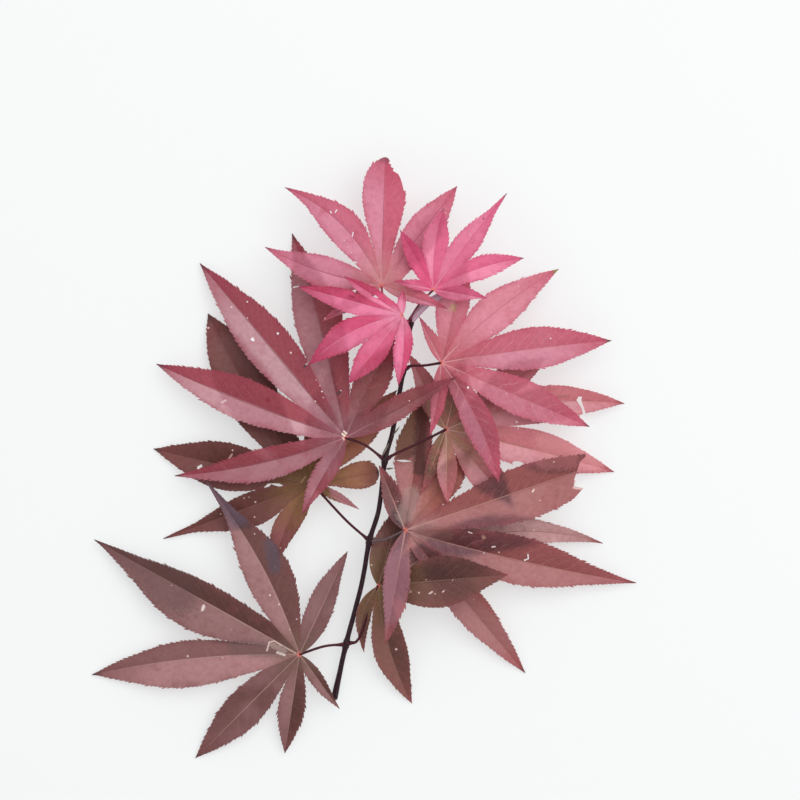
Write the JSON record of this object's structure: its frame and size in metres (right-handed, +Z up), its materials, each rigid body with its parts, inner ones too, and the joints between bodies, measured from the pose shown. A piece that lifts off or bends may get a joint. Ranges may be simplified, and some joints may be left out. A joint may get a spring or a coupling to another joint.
{
  "type": "cut japanese maple sprig",
  "caption": "Cut sprig of purple-leaved Japanese maple, lying flat: a thin dark stem with opposite pairs of palmate, fine-toothed leaves in pink, red and brown, ending in a young shoot.",
  "frame": {"origin": "on the surface that the sprig lies on, under the middle of its bounding box", "axes": "+Y along the sprig from its cut end to its tip, +X to the right of the sprig seen from above with its tip away, +Z up"},
  "size_m": [0.219, 0.2414, 0.0335],
  "materials": {
    "stem": "satin, near-black maroon",
    "young_shoot": "matte, mauve-grey",
    "leaf_top": "satin, dusky rose",
    "leaf_tip_left": "satin, bright pink-red",
    "leaf_tip_right": "satin, bright pink-red",
    "leaf_right_upper": "satin, pink-red",
    "leaf_left_large": "satin, dusky mauve-red",
    "leaf_left_lower": "satin, red-brown",
    "leaf_bottom_left": "satin, mauve-brown",
    "leaf_right_lower": "satin, mauve-red",
    "leaf_bottom_right": "satin, dark brown with olive",
    "leaf_right_middle": "satin, olive-brown with pink lobes"
  },
  "bodies": {
    "root": {"stem": "stem", "young_shoot": "young_shoot", "leaf_top": "leaf_top", "leaf_tip_left": "leaf_tip_left", "leaf_tip_right": "leaf_tip_right", "leaf_right_upper": "leaf_right_upper", "leaf_left_large": "leaf_left_large", "leaf_left_lower": "leaf_left_lower", "leaf_bottom_left": "leaf_bottom_left", "leaf_right_lower": "leaf_right_lower", "leaf_bottom_right": "leaf_bottom_right", "leaf_right_middle": "leaf_right_middle"}
  },
  "joints": []
}
